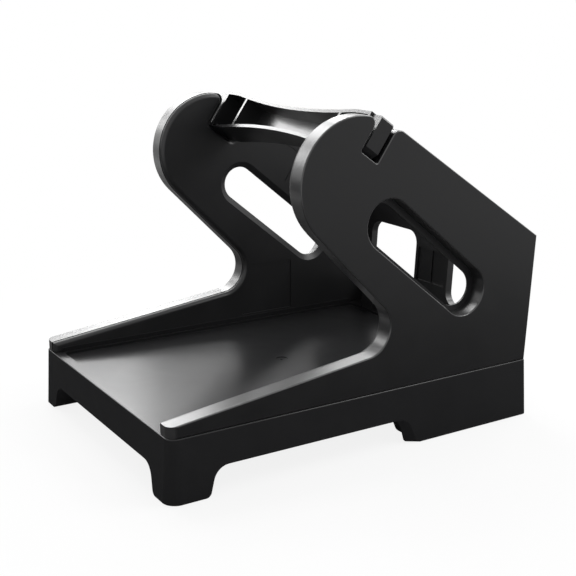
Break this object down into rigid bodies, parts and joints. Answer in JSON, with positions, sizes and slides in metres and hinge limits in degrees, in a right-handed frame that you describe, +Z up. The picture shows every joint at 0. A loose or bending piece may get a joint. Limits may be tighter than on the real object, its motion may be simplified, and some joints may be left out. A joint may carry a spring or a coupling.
{
  "type": "label roll holder",
  "caption": "Desktop stand for a roll of labels: a moulded tray with two windowed side walls, a rear panel and a lift-out bar.",
  "frame": {"origin": "on the floor, under the middle of the stand's bounding box", "axes": "+X to the stand's right as seen from its front, +Y from the open front lip to the rear panel, +Z up"},
  "size_m": [0.138, 0.1878, 0.1448],
  "materials": {
    "base_abs": "moulded black ABS, fine satin texture",
    "wall_abs": "moulded black ABS, fine satin texture",
    "cover_abs": "moulded black ABS, fine satin texture",
    "panel_abs": "moulded black ABS, fine satin texture",
    "shaft_abs": "moulded black ABS, fine satin texture",
    "pad_rubber": "black rubber",
    "screw_steel": "zinc plated steel"
  },
  "bodies": {
    "stand": {"base_tray": "base_abs", "wall_shell_left": "wall_abs", "wall_shell_right": "wall_abs", "wall_cover_left": "cover_abs", "wall_cover_right": "cover_abs", "rear_panel": "panel_abs", "foot_pad_front_left": "pad_rubber", "foot_pad_front_right": "pad_rubber", "foot_pad_rear_left": "pad_rubber", "foot_pad_rear_right": "pad_rubber", "wall_screws_left": "screw_steel", "wall_screws_right": "screw_steel", "rear_panel_screws": "screw_steel"},
    "bar": {"roll_shaft": "shaft_abs"}
  },
  "joints": [
    {"name": "shaft_lift", "type": "slide", "parent": "stand", "child": "bar", "axis": [0, 0.5736, 0.8192], "range_m": [0, 0.03]}
  ]
}
